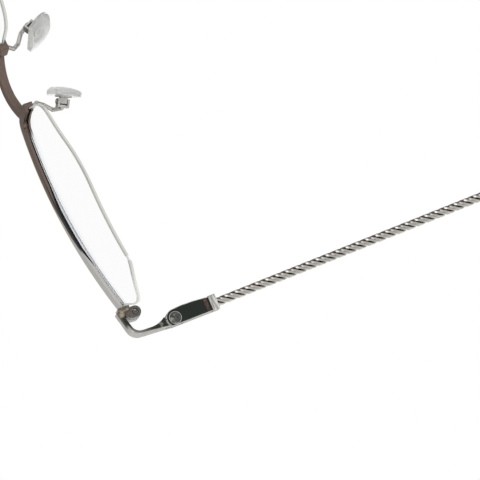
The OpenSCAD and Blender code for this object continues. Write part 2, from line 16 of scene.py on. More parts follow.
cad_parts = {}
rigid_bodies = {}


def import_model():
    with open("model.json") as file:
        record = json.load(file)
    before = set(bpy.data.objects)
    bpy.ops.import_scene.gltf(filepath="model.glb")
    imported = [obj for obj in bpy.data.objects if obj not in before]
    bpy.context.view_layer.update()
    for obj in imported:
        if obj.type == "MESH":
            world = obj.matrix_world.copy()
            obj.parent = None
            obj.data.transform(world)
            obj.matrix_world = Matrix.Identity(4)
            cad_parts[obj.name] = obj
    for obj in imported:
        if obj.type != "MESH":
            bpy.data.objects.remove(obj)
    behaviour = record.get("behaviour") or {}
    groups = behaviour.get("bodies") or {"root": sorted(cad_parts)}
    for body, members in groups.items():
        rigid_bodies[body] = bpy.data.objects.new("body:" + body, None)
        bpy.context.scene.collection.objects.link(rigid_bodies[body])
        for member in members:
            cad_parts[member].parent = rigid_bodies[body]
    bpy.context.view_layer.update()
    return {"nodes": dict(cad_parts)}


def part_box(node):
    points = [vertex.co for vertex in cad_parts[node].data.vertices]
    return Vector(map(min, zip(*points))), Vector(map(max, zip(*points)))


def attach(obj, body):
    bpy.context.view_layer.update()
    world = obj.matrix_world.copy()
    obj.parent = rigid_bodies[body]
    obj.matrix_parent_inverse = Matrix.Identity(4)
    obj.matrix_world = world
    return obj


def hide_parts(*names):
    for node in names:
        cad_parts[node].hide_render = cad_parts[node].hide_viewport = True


bl_info = {
    "name": "Half Rim Eyeglasses",
    "version": (1, 0, 0),
    "blender": (4, 5, 0),
    "location": "3D View > Sidebar > Eyeglasses",
    "description": "Finishes, rope wires and studio for the half rim eyeglasses",
    "category": "Object",
}

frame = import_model()
NODES = frame["nodes"]
MM = 0.001
TO_MM = 1000.0
SIDES = (("right", -1), ("left", 1))


def middle(node):
    """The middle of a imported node's box."""
    low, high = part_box(node)
    return (low + high) / 2


def top_of(node):
    """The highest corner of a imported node's box."""
    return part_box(node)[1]


def foot_of(node):
    """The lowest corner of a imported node's box."""
    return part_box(node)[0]


HINGE = middle("left_hinge_screw")
STRAP_LOW = foot_of("left_endpiece").z
STRAP_TOP = top_of("left_endpiece").z
ROPE_HEIGHT = middle("left_temple_block").z
# The front is drawn upright and then leans back by its tilt about this point.
PIVOT_TO_HINGE = 12.85 * MM
FRONT_PIVOT = Vector((0, HINGE.y - PIVOT_TO_HINGE, STRAP_TOP))
FRONT_TILT = math.radians(5)

# Places in the photograph's 480 by 480 frame that the camera and the pieces answer to.
IMAGE_POINTS = {
    "edge_bottom": (None, 336.6),
    "strap_bend_outside": (137.5, 336.4),
    "hinge_screw": (175.3, 317.1),
    "clamp_screw": (134.4, 310.5),
    "cap_near_corner": (217.5, 310.0),
    "rope_at_228": (228.0, 296.6),
    "rope_at_348": (348.0, 249.9),
    "rope_at_468": (468.0, 201.5),
    "lens_corner": (139.5, 287.0),
    "rim_at_200": (47.0, 200.0),
}
PHOTO = (480.0, 480.0)


# ---------------------------------------------------------------- settings


def length_setting(name, description, millimetres):
    """A length that a user can change."""
    return FloatProperty(
        name=name, description=description, default=millimetres * MM, unit="LENGTH"
    )


def angle_setting(name, description, degrees):
    """An angle that a user can change."""
    return FloatProperty(
        name=name, description=description, default=math.radians(degrees), subtype="ANGLE"
    )


def colour_setting(name, description, default):
    """A colour that a user can change."""
    return FloatVectorProperty(
        name=name, description=description, default=default, subtype="COLOR"
    )


class GlassesCameraSettings(bpy.types.PropertyGroup):
    """Where the photograph was taken from."""

    lens: FloatProperty(
        name="Lens", description="Focal length of the camera", default=210.0, min=1.0
    )
    sensor: FloatProperty(
        name="Sensor", description="Width of the camera's sensor", default=36.0, min=1.0
    )
    place: FloatVectorProperty(
        name="Place",
        description="Where the camera stands, from the right hinge axis at the strap's lower face",
        default=(-90.1820699 * MM, -157.22062235 * MM, -676.58257442 * MM),
        subtype="TRANSLATION",
        unit="LENGTH",
    )
    across: FloatVectorProperty(
        name="Across",
        description="Direction that the picture's right side points in",
        default=(-0.39001546, 0.9027168, -0.18163237),
        subtype="DIRECTION",
    )
    upwards: FloatVectorProperty(
        name="Upwards",
        description="Direction that the picture's top points in",
        default=(0.90931988, 0.34652051, -0.23034949),
        subtype="DIRECTION",
    )


class GlassesRopeSettings(bpy.types.PropertyGroup):
    """Sizes of the rope temples' wires."""

    start: length_setting("Start", "Rope's start behind the hinge axis", 10.45)
    run: length_setting("Run", "Length of the rope's wires", 79.7)
    lay: length_setting("Lay", "Length of one full turn", 8.55)
    ring: length_setting("Ring", "Radius on which the outer wires' middles lie", 0.79)
    wire: length_setting("Wire", "Radius of an outer wire", 0.35)
    pair_angle: angle_setting("Pair angle", "Angle between the two wires of one strand", 42)
    core_ring: length_setting("Core ring", "Radius on which the inner wires lie", 0.34)
    core_wire: length_setting("Core wire", "Radius of an inner wire", 0.3)
    phase: angle_setting("Phase", "Turn of the rope about itself", -22)
    slant: angle_setting("Slant", "Inward slant of the rope", 0.5)
    aside: length_setting("Aside", "How far inside the hinge axis the rope runs", -0.1)


class GlassesColours(bpy.types.PropertyGroup):
    """Colours of the finishes."""

    silver: colour_setting("Silver", "Brushed silver", (0.49, 0.48, 0.455))
    # Painted shade on the strap's down-facing faces, standing for the dark surroundings they
    # reflect, with pale patches in it and a browner shade on the lug.
    painted_under_shade: colour_setting(
        "Dark silver", "Darkened metal in corners and on edges", (0.035, 0.036, 0.03)
    )
    under_shade_patch: colour_setting("Patch", "Pale patches in the tarnish", (0.19, 0.19, 0.165))
    lug: colour_setting("Lug", "Lower face of the endpiece's lug", (0.15, 0.13, 0.11))
    lug_pale_patch: colour_setting("Worn lug", "Where the lug's lacquer is worn", (0.36, 0.31, 0.23))
    brown: colour_setting("Brown", "Brown lacquer of the rims", (0.16, 0.12, 0.10))
    gold: colour_setting("Gold", "Worn top edge of the rims", (0.58, 0.43, 0.2))
    # The same black is also painted shade on the rims' lower face.
    black: colour_setting("Black", "Black lower bevel of the rims", (0.018, 0.018, 0.02))
    # A painted pale highlight on the rims' lower face, behind the bevel.
    under_highlight: colour_setting("Lining", "Pale nylon behind the rims' bevel", (0.92, 0.93, 0.95))
    plate: colour_setting("Plate", "Dark clamp plate", (0.085, 0.072, 0.060))
    inlay: colour_setting("Inlay", "Dark green inlay", (0.009, 0.0145, 0.0095))
    stripe: colour_setting("Stripe", "Reddish stripe", (0.06, 0.026, 0.017))
    rope: colour_setting("Rope", "Rope wires", (0.40, 0.385, 0.355))
    # A painted highlight where the wires come over.
    rope_highlight: colour_setting("Rope shine", "Where the wires are polished", (0.95, 0.93, 0.9))
    # Painted shade in brown on the rope's side towards the head.
    rope_head_side_shade: colour_setting(
        "Rope tarnish", "Tarnish on the rope's inner side", (0.105, 0.08, 0.065)
    )
    # Painted shade between the rope's wires and towards its middle.
    rope_gap_shade: colour_setting("Rope gaps", "Dark between the rope's wires", (0.03, 0.024, 0.02))
    lens_edge: colour_setting("Lens edge", "Ground edge of the lens", (0.43, 0.42, 0.36))
    lens: colour_setting("Lens", "Clear lens", (0.965, 0.97, 0.967))
    glint: colour_setting("Glint", "Glint at the lens's outer corner", (0.93, 0.93, 0.92))
    nylon: colour_setting("Nylon", "Clear nylon", (0.66, 0.66, 0.60))
    silicone: colour_setting("Silicone", "Clear nose pads", (0.86, 0.86, 0.83))
    acetate: colour_setting("Acetate", "Black ear tips", (0.012, 0.011, 0.012))
    floor: colour_setting("Floor", "Floor", (0.93, 0.93, 0.93))


# ---------------------------------------------------------------- shader helpers


COAT_ROUGHNESS = 0.08


def new_group(name, inputs, outputs):
    """An empty shader node group with its sockets, and its two end nodes."""
    group = bpy.data.node_groups.new(name, "ShaderNodeTree")
    for label, kind, default in inputs:
        socket = group.interface.new_socket(name=label, in_out="INPUT", socket_type=kind)
        if default is not None:
            socket.default_value = default
    for label, kind in outputs:
        group.interface.new_socket(name=label, in_out="OUTPUT", socket_type=kind)
    return group, group.nodes.new("NodeGroupInput"), group.nodes.new("NodeGroupOutput")


def math_node(tree, kind, first, second=None, clamp=False):
    """A Math node fed with numbers or sockets."""
    node = tree.nodes.new("ShaderNodeMath")
    node.operation = kind
    node.use_clamp = clamp
    for slot, value in zip(node.inputs, (first, second)):
        if value is None:
            continue
        if isinstance(value, (int, float)):
            slot.default_value = value
        else:
            tree.links.new(value, slot)
    return node.outputs[0]


def ramp_mask(tree, value, low, high):
    """0 at low, 1 at high, smooth between; low may be the greater one."""
    node = tree.nodes.new("ShaderNodeMapRange")
    node.interpolation_type = "SMOOTHSTEP"
    tree.links.new(value, node.inputs["Value"])
    node.inputs["From Min"].default_value = low
    node.inputs["From Max"].default_value = high
    return node.outputs["Result"]


def mix_colours(tree, mask, first, second):
    """Two colours mixed by a mask; the colours are tuples or sockets."""
    node = tree.nodes.new("ShaderNodeMix")
    node.data_type = "RGBA"
    for name, value in (("Factor", mask), ("A", first), ("B", second)):
        slot = [s for s in node.inputs if s.name == name and s.enabled][0]
        if isinstance(value, bpy.types.NodeSocket):
            tree.links.new(value, slot)
        else:
            slot.default_value = (*tuple(value)[:3], 1.0)
    return [s for s in node.outputs if s.enabled][0]


def mix_shaders(tree, masks, first, second, end):
    """Shows the second shader where any mask is 1, and the first elsewhere."""
    shown = masks[0]
    for mask in masks[1:]:
        shown = math_node(tree, "MAXIMUM", shown, mask)
    mix = tree.nodes.new("ShaderNodeMixShader")
    tree.links.new(shown, mix.inputs["Fac"])
    tree.links.new(first.outputs[0], mix.inputs[1])
    tree.links.new(second.outputs[0], mix.inputs[2])
    tree.links.new(mix.outputs[0], tree.nodes[end].inputs["Surface"])


def shade(colour, factor):
    """A darker or lighter shade of a colour."""
    return [min(1, c * factor) for c in colour]


def brushed_grain():
    """Fine parallel scratches and a slow cloudiness, on Object coordinates."""
    if "Brushed grain" in bpy.data.node_groups:
        return bpy.data.node_groups["Brushed grain"]
    group, start, end = new_group(
        "Brushed grain",
        [
            ("Coordinates", "NodeSocketVector", None),
            ("Scratch scale", "NodeSocketFloat", 4000.0),
            ("Cloud scale", "NodeSocketFloat", 300.0),
        ],
        [("Scratch", "NodeSocketFloat"), ("Cloud", "NodeSocketFloat")],
    )
    scratch = group.nodes.new("ShaderNodeTexNoise")
    scratch.inputs["Detail"].default_value = 3
    group.links.new(start.outputs["Coordinates"], scratch.inputs["Vector"])
    group.links.new(start.outputs["Scratch scale"], scratch.inputs["Scale"])
    cloud = group.nodes.new("ShaderNodeTexNoise")
    cloud.inputs["Detail"].default_value = 2
    group.links.new(start.outputs["Coordinates"], cloud.inputs["Vector"])
    group.links.new(start.outputs["Cloud scale"], cloud.inputs["Scale"])
    group.links.new(scratch.outputs["Fac"], end.inputs["Scratch"])
    group.links.new(cloud.outputs["Fac"], end.inputs["Cloud"])
    return group


def speckle():
    """Small dark and light spots, as in lacquer with metal dust."""
    if "Speckle" in bpy.data.node_groups:
        return bpy.data.node_groups["Speckle"]
    group, start, end = new_group(
        "Speckle",
        [("Coordinates", "NodeSocketVector", None), ("Scale", "NodeSocketFloat", 5000.0)],
        [("Spots", "NodeSocketFloat"), ("Height", "NodeSocketFloat")],
    )
    cells = group.nodes.new("ShaderNodeTexVoronoi")
    group.links.new(start.outputs["Coordinates"], cells.inputs["Vector"])
    group.links.new(start.outputs["Scale"], cells.inputs["Scale"])
    spots = ramp_mask(group, cells.outputs["Distance"], 0.15, 0.55)
    group.links.new(spots, end.inputs["Spots"])
    group.links.new(cells.outputs["Distance"], end.inputs["Height"])
    return group


class Finish:
    """A Principled material while it is being put together."""

    def __init__(
        self,
        name,
        metallic=0.0,
        roughness=0.4,
        ior=1.5,
        coat=0.0,
        transmission=0.0,
        specular=0.5,
        edge=1.0,
    ):
        self.material = bpy.data.materials.new(name)
        self.material.use_nodes = True
        self.tree = self.material.node_tree
        self.shader = self.tree.nodes["Principled BSDF"]
        self.place = self.tree.nodes.new("ShaderNodeTexCoord")
        self.roughness = roughness
        for label, value in (
            ("Metallic", metallic),
            ("Roughness", roughness),
            ("IOR", ior),
            ("Coat Weight", coat),
            ("Coat Roughness", COAT_ROUGHNESS),
            ("Transmission Weight", transmission),
            ("Specular IOR Level", specular),
            ("Specular Tint", (edge, edge, edge, 1.0)),
        ):
            self.shader.inputs[label].default_value = value

    def times(self, *factors):
        """The product of numbers or sockets."""
        product = factors[0]
        for factor in factors[1:]:
            product = math_node(self.tree, "MULTIPLY", product, factor)
        return product

    def plus(self, first, second):
        """The sum of two numbers or sockets."""
        return math_node(self.tree, "ADD", first, second)

    def minus(self, first, second):
        """The first number or socket less the second."""
        return math_node(self.tree, "SUBTRACT", first, second)

    def larger(self, first, second):
        """The larger of two numbers or sockets."""
        return math_node(self.tree, "MAXIMUM", first, second)

    def ramp(self, value, low, high):
        """0 at low, 1 at high, smooth between."""
        return ramp_mask(self.tree, value, low, high)

    def past(self, value, line, blur):
        """1 where a value is past a line, 0 before it, blurred to each side."""
        return self.ramp(self.minus(value, line), -blur, blur)

    def mix(self, mask, first, second):
        """Two colours mixed by a mask."""
        return mix_colours(self.tree, mask, first, second)

    def toned(self, mask, colour, first, second):
        """Two shades of one colour mixed by a mask."""
        return self.mix(mask, shade(colour, first), shade(colour, second))

    def point(self, *coordinates):
        """A point put together from sockets."""
        node = self.tree.nodes.new("ShaderNodeCombineXYZ")
        for slot, value in zip(node.inputs, coordinates):
            self.tree.links.new(value, slot)
        return node.outputs[0]

    def vector(self, kind, first, second=None, output="Value"):
        """A Vector Math node fed with points or sockets."""
        node = self.tree.nodes.new("ShaderNodeVectorMath")
        node.operation = kind
        for slot, value in zip(node.inputs, (first, second)):
            if isinstance(value, bpy.types.NodeSocket):
                self.tree.links.new(value, slot)
            elif value is not None:
                slot.default_value = value
        return node.outputs[output]

    def facing(self, direction, low, high):
        """How far the surface faces a direction of the piece's own axes."""
        turned = self.vector("DOT_PRODUCT", self.place.outputs["Normal"], direction)
        return self.ramp(turned, low, high)

    def along(self, direction, origin):
        """Distance in metres along a direction from a point."""
        away = self.vector("SUBTRACT", self.place.outputs["Object"], origin, "Vector")
        return self.vector("DOT_PRODUCT", away, direction)

    def outwards(self):
        """Distance in mm out from the middle plane, and the split coordinates."""
        parts = self.tree.nodes.new("ShaderNodeSeparateXYZ")
        self.tree.links.new(self.place.outputs["Object"], parts.inputs[0])
        out = math_node(self.tree, "ABSOLUTE", parts.outputs["X"])
        return self.times(out, TO_MM), parts.outputs

    def attribute(self, name):
        """A value that is stored on the piece's vertices."""
        node = self.tree.nodes.new("ShaderNodeAttribute")
        node.attribute_name = name
        return node.outputs["Fac"]

    def placed(self, group, coordinates, values):
        """A node group, placed in this material with its own values."""
        node = self.tree.nodes.new("ShaderNodeGroup")
        node.node_tree = group
        self.tree.links.new(coordinates, node.inputs["Coordinates"])
        for label, value in values.items():
            node.inputs[label].default_value = value
        return tuple(node.outputs)

    def grain(self, stretch, scratch, cloud):
        """Scratches and clouds of the brushed grain, stretched along each axis."""
        mapping = self.tree.nodes.new("ShaderNodeMapping")
        mapping.inputs["Scale"].default_value = stretch
        self.tree.links.new(self.place.outputs["Object"], mapping.inputs["Vector"])
        scales = {"Scratch scale": scratch, "Cloud scale": cloud}
        return self.placed(brushed_grain(), mapping.outputs["Vector"], scales)

    def spots(self, scale):
        """Spots of the speckle, and their height."""
        return self.placed(speckle(), self.place.outputs["Object"], {"Scale": scale})

    def colour(self, socket):
        """Sets the base colour."""
        self.tree.links.new(socket, self.shader.inputs["Base Color"])

    def rough(self, mask, spread):
        """Roughness that wanders about its set value with a mask."""
        shifted = self.times(self.minus(mask, 0.5), spread)
        value = math_node(self.tree, "ADD", shifted, self.roughness, clamp=True)
        self.tree.links.new(value, self.shader.inputs["Roughness"])

    def bump(self, height, distance, strength):
        """Relief from a height mask."""
        node = self.tree.nodes.new("ShaderNodeBump")
        node.inputs["Strength"].default_value = strength
        node.inputs["Distance"].default_value = distance
        self.tree.links.new(height, node.inputs["Height"])
        self.tree.links.new(node.outputs["Normal"], self.shader.inputs["Normal"])


def both(name):
    """The right and the left node of a name."""
    return [f"{side}_{name}" for side, _ in SIDES]


def dress(material, *nodes):
    """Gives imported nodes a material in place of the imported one."""
    for node in nodes:
        mesh = NODES[node].data
        mesh.materials.clear()
        mesh.materials.append(material)


def dress_pairs(material, *names):
    """Gives the right and the left node of each name a material."""
    for name in names:
        dress(material, *both(name))


# ---------------------------------------------------------------- finishes

# The metal under every brushed finish.
BRUSHED = {"metallic": 0.9, "roughness": 0.36, "specular": 0.3, "edge": 0.35}

# Spans below are (where a mask is 0, where it is 1). OUT is mm from the middle plane, BACK mm
# behind the hinge axis, DROP mm down from the rims' top edge, BEHIND mm behind their front face.

# The strap's outer outline from above: the corner where its two flat faces would meet, which way
# they face, and the bend that rounds them into one another.
STRAP_CORNER = Vector((70.7, -11.5))
STRAP_SIDE = Vector((0.9935, -0.1136))
STRAP_FRONT = Vector((0.2198, -0.9755))
BEND_RADIUS = 3.2
BEND_CENTRE = STRAP_CORNER - (STRAP_SIDE + STRAP_FRONT) * (
    BEND_RADIUS / (1 + STRAP_SIDE.dot(STRAP_FRONT))
)

# The strap's painted shade on its down-facing faces, a painted reflection of dark surroundings:
# mottled in the flare and on the lug, plain grey in the bend, and up the front leg. The rounded
# outer edge and the lip round the hinge stay bright.
FLARE_BACK = (-8.5, -7.0)
FLARE_OUT = (65.6, 65.0)
BEND_OUT = (67.6, 69.4)
BEND_BACK = (-6.0, -9.5)
BEND_GREY = 0.36
LUG_OUT = (65.4, 64.9)
LEG_OUT = (69.0, 67.2)
EDGE_DEPTH = (-0.42, -0.26)
HINGE_LIP = (2.56, 2.46)
CLIMB_HEIGHT = (3.0, 1.4)


def strap_place(finish):
    """In mm: height over the strap's outer face, reach from the hinge axis, out and back."""
    out, parts = finish.outwards()
    back = finish.times(finish.minus(parts["Y"], HINGE.y), TO_MM)
    spot = finish.point(out, back)

    def away(point):
        return finish.vector("SUBTRACT", spot, (*point, 0), "Vector")

    def beyond(point, direction):
        return finish.vector("DOT_PRODUCT", away(point), (*direction, 0))

    def turned(direction):
        return (-direction.y, direction.x)

    flat = finish.larger(beyond(STRAP_CORNER, STRAP_SIDE), beyond(STRAP_CORNER, STRAP_FRONT))
    rounded = finish.minus(finish.vector("LENGTH", away(BEND_CENTRE)), BEND_RADIUS)
    before = math_node(finish.tree, "LESS_THAN", beyond(BEND_CENTRE, turned(STRAP_SIDE)), 0.0)
    after = math_node(finish.tree, "GREATER_THAN", beyond(BEND_CENTRE, turned(STRAP_FRONT)), 0.0)
    depth = finish.plus(flat, finish.times(before, after, finish.minus(rounded, flat)))
    return depth, finish.vector("LENGTH", away((HINGE.x / MM, 0))), out, back


def shaded_underneath(finish, colours, base):
    """The strap's silver with painted shade on its lower face and up its front leg."""
    depth, reach, out, back = strap_place(finish)
    _, clouds = finish.grain((1, 0.45, 1), 3200.0, 1100.0)
    mottled = finish.larger(finish.ramp(back, *FLARE_BACK), finish.ramp(out, *FLARE_OUT))
    patches = finish.times(finish.ramp(clouds, 0.5, 0.62), mottled)
    worn = finish.mix(patches, colours.painted_under_shade, colours.under_shade_patch)
    in_bend = finish.times(finish.ramp(out, *BEND_OUT), finish.ramp(back, *BEND_BACK))
    worn = finish.mix(in_bend, worn, shade(colours.silver, BEND_GREY))
    lug = finish.mix(patches, colours.lug, colours.lug_pale_patch)
    worn = finish.mix(finish.ramp(out, *LUG_OUT), worn, lug)
    front_leg = finish.ramp(out, *LEG_OUT)
    edge = finish.times(finish.ramp(depth, *EDGE_DEPTH), finish.minus(1.0, front_leg))
    bright = finish.larger(edge, finish.ramp(reach, *HINGE_LIP))
    # painted shade on down-facing faces and on the lower part of the front leg's outer face
    under = finish.times(finish.facing((0, 0, -1), 0.80, 0.97), finish.minus(1.0, bright))
    height = finish.times(finish.along((0, 0, 1), (0, 0, STRAP_LOW)), TO_MM)
    forwards = finish.facing((0, -1, 0), 0.3, 0.6)
    climb = finish.times(finish.ramp(height, *CLIMB_HEIGHT), front_leg, forwards)
    return finish.mix(finish.larger(under, climb), base, worn)


def silver_finish(colours, name, stretch, contrast=0.2, scratch=2600.0, painted_shade=False):
    """Brushed silver, with or without painted shade on its down-facing faces."""
    finish = Finish(name, **BRUSHED)
    scratches, _ = finish.grain(stretch, scratch, 260.0)
    brushing = finish.ramp(scratches, 0.3, 0.7)
    base = finish.toned(brushing, colours.silver, 1 - contrast, 1 + contrast)
    finish.colour(shaded_underneath(finish, colours, base) if painted_shade else base)
    finish.rough(scratches, 0.18)
    finish.bump(scratches, 0.004 * MM, 0.2)
    return finish.material


def bridge_finish(colours):
    """Brown brushed lacquer."""
    finish = Finish("bridge_lacquer", **BRUSHED)
    scratches, _ = finish.grain((0.12, 1, 1), 2600.0, 200.0)
    finish.colour(finish.toned(scratches, colours.brown, 0.8, 1.25))
    finish.rough(scratches, 0.15)
    finish.bump(scratches, 0.004 * MM, 0.2)
    return finish.material


# The sphere that the rims' front faces lie on, from the front's pivot and mirrored on the right.
RIM_CURVE_CENTRE = Vector((22.25, 143.134, -3.538))
RIM_CURVE_RADIUS = 147.7
FACE_BEHIND = (0.75, 0.6)

# Silver comes in from the top edge and fills the whole band near the hinge.
SILVER_FROM_OUT = 30.0
SILVER_SLOPE = 0.31
SILVER_BLUR = 0.5

# The black bevel is widest half way along and tapers out before the hinge.
BEVEL_DROP = 4.4
BEVEL_WIDER_OUT = (20.0, 38.0)
BEVEL_WIDER = 2.2
BEVEL_NARROWER_OUT = (39.0, 51.0)
BEVEL_NARROWER = 2.3
BEVEL_END_OUT = (47.0, 45.0)
BEVEL_BLUR = 0.06

# A thin gold line along the top edge, where the lacquer is worn.
GOLD_DROP = (0.85, 0.55)
GOLD_END_OUT = (46.0, 40.0)

# Painted shade darkens the lower face behind one line, and a painted pale highlight lies behind
# another.
UNDER_DROP = (3.3, 3.45)
UNDER_BLUR = 0.05
DARK_BEHIND = 0.85
DARK_FORWARDS_OUT = (24.0, 35.0)
DARK_BACK_OUT = (45.0, 50.0)
DARK_BACK = 0.6
DARK_END_OUT = (51.0, 48.5)
UNDER_HIGHLIGHT_BEHIND = 1.55
UNDER_HIGHLIGHT_FORWARDS = 0.55
UNDER_HIGHLIGHT_RISE_OUT = (26.0, 35.0)
UNDER_HIGHLIGHT_FALL_OUT = (52.0, 44.0)
NOSE_OUT = (12.0, 15.0)


def rim_finish(colours):
    """Brown lacquer that gives way to silver towards the hinge, over a black lower bevel, with
    painted shade and a painted pale highlight on the lower face.
    """
    finish = Finish("rim_lacquer", **BRUSHED)
    scratches, _ = finish.grain((0.12, 1, 1), 2600.0, 200.0)
    up = Vector((0, -math.sin(FRONT_TILT), math.cos(FRONT_TILT)))
    drop = finish.times(finish.along(up, FRONT_PIVOT), -TO_MM)
    out, parts = finish.outwards()
    mirrored = finish.point(finish.times(out, MM), parts["Y"], parts["Z"])
    centre = FRONT_PIVOT + RIM_CURVE_CENTRE * MM
    from_centre = finish.times(finish.vector("DISTANCE", mirrored, centre), TO_MM)
    behind = finish.minus(RIM_CURVE_RADIUS, from_centre)
    front = finish.times(finish.facing((0, -1, 0), 0.3, 0.6), finish.ramp(behind, *FACE_BEHIND))

    silver_line = finish.times(finish.minus(out, SILVER_FROM_OUT), SILVER_SLOPE)
    base = finish.mix(
        finish.past(silver_line, drop, SILVER_BLUR),
        finish.toned(scratches, colours.brown, 0.8, 1.25),
        finish.toned(scratches, colours.silver, 0.9, 1.15),
    )
    worn = finish.times(finish.ramp(drop, *GOLD_DROP), finish.ramp(out, *GOLD_END_OUT), front)
    base = finish.mix(worn, base, colours.gold)

    wider = finish.times(finish.ramp(out, *BEVEL_WIDER_OUT), BEVEL_WIDER)
    narrower = finish.times(finish.ramp(out, *BEVEL_NARROWER_OUT), BEVEL_NARROWER)
    bevel_top = finish.minus(BEVEL_DROP, finish.minus(wider, narrower))
    bevel = finish.past(drop, bevel_top, BEVEL_BLUR)
    bevel = finish.times(bevel, finish.ramp(out, *BEVEL_END_OUT), front)

    # painted shade on the lower face, behind the dark line
    not_back = finish.facing((0, 1, 0), 0.85, 0.6)
    under = finish.times(finish.ramp(drop, *UNDER_DROP), not_back, finish.minus(1.0, front))
    forwards = finish.times(finish.ramp(out, *DARK_FORWARDS_OUT), -DARK_BEHIND)
    back = finish.times(finish.ramp(out, *DARK_BACK_OUT), DARK_BACK)
    dark_from = finish.plus(finish.plus(forwards, back), DARK_BEHIND)
    dark = finish.past(behind, dark_from, UNDER_BLUR)
    dark = finish.times(under, dark, finish.ramp(out, *DARK_END_OUT))
    # painted highlight: a pale band on the lower face behind a second line
    shift = finish.times(finish.ramp(out, *UNDER_HIGHLIGHT_RISE_OUT), finish.ramp(out, *UNDER_HIGHLIGHT_FALL_OUT))
    under_highlight_from = finish.minus(UNDER_HIGHLIGHT_BEHIND, finish.times(shift, UNDER_HIGHLIGHT_FORWARDS))
    under_highlight = finish.times(under, finish.past(behind, under_highlight_from, UNDER_BLUR))

    from_nose = finish.ramp(out, *NOSE_OUT)
    black = finish.times(finish.larger(dark, bevel), from_nose)
    base = finish.mix(black, base, colours.black)
    finish.colour(finish.mix(finish.times(under_highlight, from_nose), base, colours.under_highlight))
    finish.rough(scratches, 0.15)
    finish.bump(scratches, 0.004 * MM, 0.2)
    return finish.material


def plate_finish(colours):
    """Dark lacquer with fine metal dust."""
    finish = Finish("plate_lacquer", metallic=0.55, roughness=0.38, coat=0.3)
    spots, height = finish.spots(6500.0)
    _, clouds = finish.grain((1, 1, 1), 1800.0, 420.0)
    base = finish.toned(spots, colours.plate, 2.2, 1.0)
    finish.colour(finish.mix(finish.ramp(clouds, 0.55, 0.75), base, shade(colours.plate, 0.5)))
    finish.rough(clouds, 0.25)
    finish.bump(height, 0.005 * MM, 0.2)
    return finish.material


def inlay_finish(colours):
    """Dark green lacquer with a faint cloud."""
    finish = Finish("inlay_lacquer", roughness=0.42, specular=0.22)
    scratches, clouds = finish.grain((1, 0.3, 1), 2200.0, 350.0)
    finish.colour(finish.toned(clouds, colours.inlay, 0.7, 1.5))
    finish.rough(clouds, 0.2)
    finish.bump(scratches, 0.01 * MM, 0.15)
    return finish.material


def stripe_finish(colours):
    """Reddish brown speckled lacquer."""
    finish = Finish("stripe_lacquer", metallic=0.3, roughness=0.4, coat=0.2)
    spots, height = finish.spots(1700.0)
    finish.colour(finish.toned(spots, colours.stripe, 2.4, 0.6))
    finish.rough(spots, 0.2)
    finish.bump(height, 0.005 * MM, 0.2)
    return finish.material


def screw_finish(colours, name, dark, light, patches, cloud):
    """Turned grey metal with darker and lighter patches; on the clamp screws the near-white patches
    are painted highlights.
    """
    finish = Finish(name, metallic=0.9, roughness=0.3)
    scratches, clouds = finish.grain((1, 1, 1), 3800.0, cloud)
    finish.colour(finish.toned(finish.ramp(clouds, *patches), colours.silver, dark, light))
    finish.rough(scratches, 0.25)
    finish.bump(scratches, 0.005 * MM, 0.2)
    return finish.material


# How far round a wire has turned, from -1 on the rope's outside to 1 on its side to the head:
# where its painted shade in brown begins, where its painted highlight begins and ends, and where
# painted light makes it paler.
HEAD_SIDE_SHADE_TURN = (0.55, 0.72)
HIGHLIGHT_FROM_TURN = (0.22, 0.42)
HIGHLIGHT_TO_TURN = (0.66, 0.54)
OUTSIDE_LIGHT_TURN = (-0.5, -0.9)
# The painted highlight of both wires of a strand's pair, and what the leading one adds to it and to
# its turn.
HIGHLIGHT = 0.35
LEAD_HIGHLIGHT = 0.6
LEAD_TURN = -0.22


def rope_finish(colours):
    """Drawn wire with painted shade towards the rope's middle, a painted highlight where the wires
    come over, and painted shade and light on its two sides.
    """
    finish = Finish("rope_wire", metallic=0.9, roughness=0.25)
    scratches, clouds = finish.grain((1, 0.2, 1), 2800.0, 300.0)
    depth, swing, lead = (finish.attribute(name) for name in ("depth", "swing", "lead"))
    light = finish.toned(clouds, colours.rope, 0.85, 1.2)
    # painted shade in brown on the side towards the head, and a painted highlight where the wires
    # come over
    turn = finish.plus(swing, finish.times(lead, LEAD_TURN))
    light = finish.mix(finish.ramp(turn, *HEAD_SIDE_SHADE_TURN), light, colours.rope_head_side_shade)
    over = finish.times(finish.ramp(turn, *HIGHLIGHT_FROM_TURN), finish.ramp(turn, *HIGHLIGHT_TO_TURN))
    highlight = finish.times(over, finish.plus(finish.times(lead, LEAD_HIGHLIGHT), HIGHLIGHT))
    light = finish.mix(highlight, light, colours.rope_highlight)
    # painted light: paler towards the rope's outside
    light = finish.mix(finish.ramp(swing, *OUTSIDE_LIGHT_TURN), light, shade(colours.rope, 1.2))
    # painted shade towards the rope's middle, where the depth value is high
    finish.colour(finish.mix(depth, light, colours.rope_gap_shade))
    finish.rough(scratches, 0.15)
    finish.bump(scratches, 0.003 * MM, 0.2)
    return finish.material


# The lens's outer corner, how near to it the glint lies, and where the edge pales.
LENS_CORNER_OUT = 55.4
GLINT_NEAR = (0.8, 0.35)
PALER_EDGE_OUT = (57.0, 63.5)


def lit_edge(finish, colours, colour):
    """An edge colour with a glint at the lens's outer corner, paler towards the hinge."""
    out, _ = finish.outwards()
    paler = finish.mix(finish.ramp(out, *PALER_EDGE_OUT), colour, shade(colour, 1.7))
    from_corner = math_node(finish.tree, "ABSOLUTE", finish.minus(out, LENS_CORNER_OUT))
    return finish.mix(finish.ramp(from_corner, *GLINT_NEAR), paler, colours.glint)


